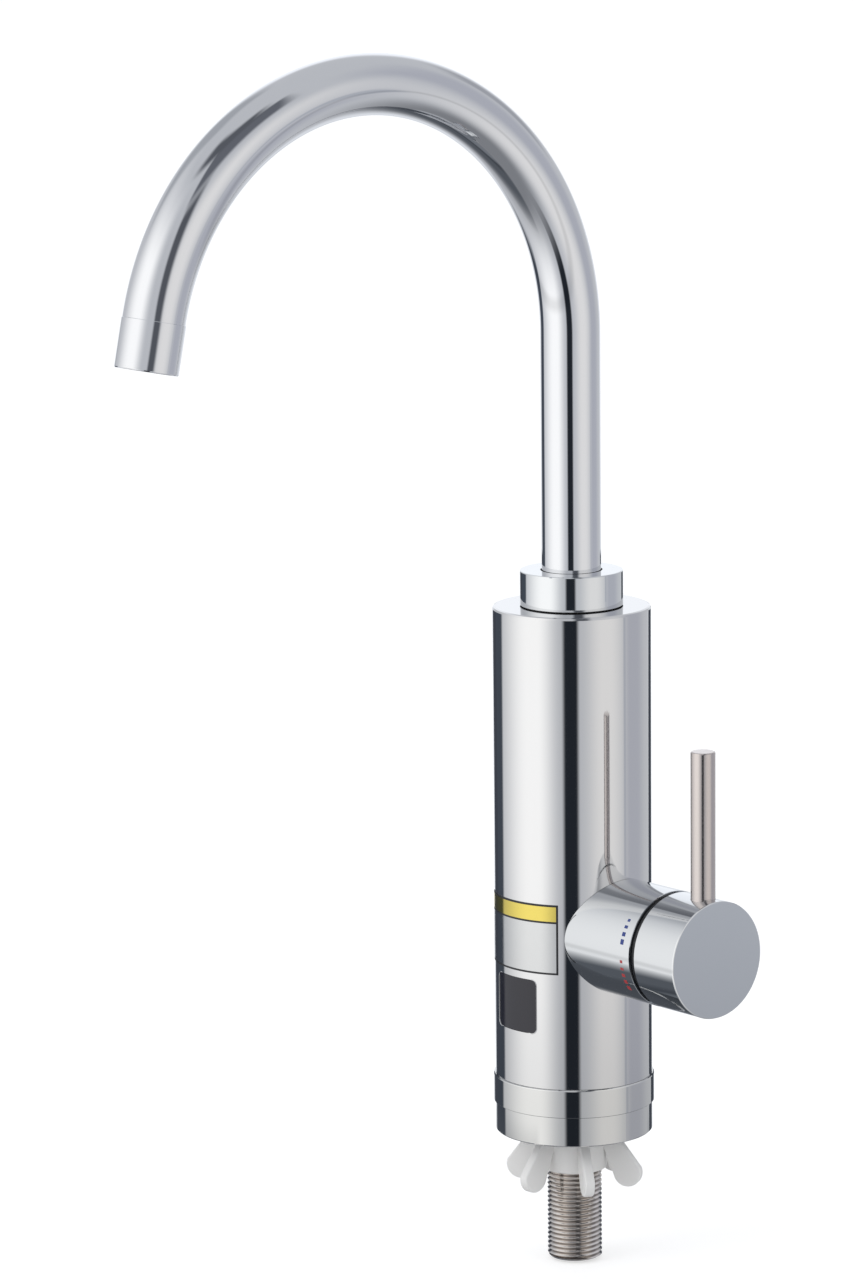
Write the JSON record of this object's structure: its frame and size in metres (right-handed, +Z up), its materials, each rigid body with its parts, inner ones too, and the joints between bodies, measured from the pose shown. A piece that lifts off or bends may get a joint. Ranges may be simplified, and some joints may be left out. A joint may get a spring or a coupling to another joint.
{
  "type": "electric instant water heater tap",
  "caption": "Deck-mounted kitchen tap with an electric water heater in its column, a swivelling gooseneck spout, a side lever valve and a threaded tail with a wing nut.",
  "frame": {"origin": "centre of the foot's rim, on the worktop face", "axes": "+Z up out of the worktop along the column, -Y to the front where the window, the label and the spout at rest face, +X along the valve axis towards the knob"},
  "size_m": [0.1117, 0.2395, 0.4678],
  "materials": {
    "chrome": "polished",
    "chrome_plastic": "polished",
    "steel": "satin",
    "lever_steel": "satin",
    "brass": "machined",
    "white_nylon": "moulded",
    "tank_nylon": "moulded",
    "black_nylon": "moulded",
    "rubber": "matt",
    "smoked_lens": "gloss",
    "display_plastic": "gloss",
    "circuit_board": "solder mask",
    "ceramic": "lapped",
    "heater_sheath": "bright annealed",
    "label": "printed film",
    "red_plastic": "moulded"
  },
  "bodies": {
    "column": {"body_shell": "chrome", "base_band": "chrome_plastic", "base_foot": "chrome_plastic", "deck_gasket": "rubber", "cable_gland": "rubber", "base_screws": "steel", "chassis": "tank_nylon", "threaded_tail": "steel", "valve_block": "brass", "tail_seal": "rubber", "valve_housing": "chrome_plastic", "cartridge_body": "brass", "cartridge_seal": "rubber", "fixed_disc": "ceramic", "cartridge_nut": "brass", "bearing_ring": "black_nylon", "microswitch": "black_nylon", "display_lens": "smoked_lens", "display_module": "display_plastic", "display_board": "circuit_board", "display_holder": "black_nylon", "control_board": "circuit_board", "tank_cap": "tank_nylon", "tank_seal": "rubber", "tank_body": "tank_nylon", "heating_element": "heater_sheath", "element_nuts": "brass", "thermal_cutout": "black_nylon", "temperature_probe": "brass", "spout_collar": "chrome_plastic", "slide_ring": "white_nylon", "label_film": "label"},
    "handle": {"knob": "chrome_plastic", "lever": "lever_steel", "grub_screw": "steel", "spindle": "brass", "moving_disc": "ceramic", "switch_cam": "black_nylon"},
    "switch_push": {"switch_plunger": "white_nylon", "switch_button": "red_plastic"},
    "spout": {"spout_pipe": "chrome", "spout_insert": "brass", "spout_seals": "rubber", "nozzle_sleeve": "chrome", "aerator_body": "white_nylon", "aerator_screen": "steel"},
    "washer": {"clamp_washer": "steel"},
    "nut": {"wing_nut": "white_nylon"}
  },
  "joints": [
    {"name": "spout_swivel", "type": "hinge", "parent": "column", "child": "spout", "pos_m": [0, 0, 0.2], "axis": [0, 0, 1], "continuous": true},
    {"name": "handle_turn", "type": "hinge", "parent": "column", "child": "handle", "pos_m": [0, 0, 0.0803], "axis": [1, 0, 0], "range_deg": [0, 90]},
    {"name": "plunger_slide", "type": "slide", "parent": "column", "child": "switch_push", "axis": [-1, 0, 0], "range_m": [0, 0.0008]},
    {"name": "washer_slide", "type": "slide", "parent": "column", "child": "washer", "axis": [0, 0, -1], "range_m": [0, 0.02722]},
    {"name": "nut_spin", "type": "hinge", "parent": "washer", "child": "nut", "pos_m": [0, 0, 0], "axis": [0, 0, -1], "range_deg": [0, 5400]}
  ],
  "couplings": [
    {"joint": "plunger_slide", "follows": "handle_turn", "m_per_rad": 0.0005093},
    {"joint": "washer_slide", "follows": "nut_spin", "m_per_rad": 0.00028871}
  ]
}
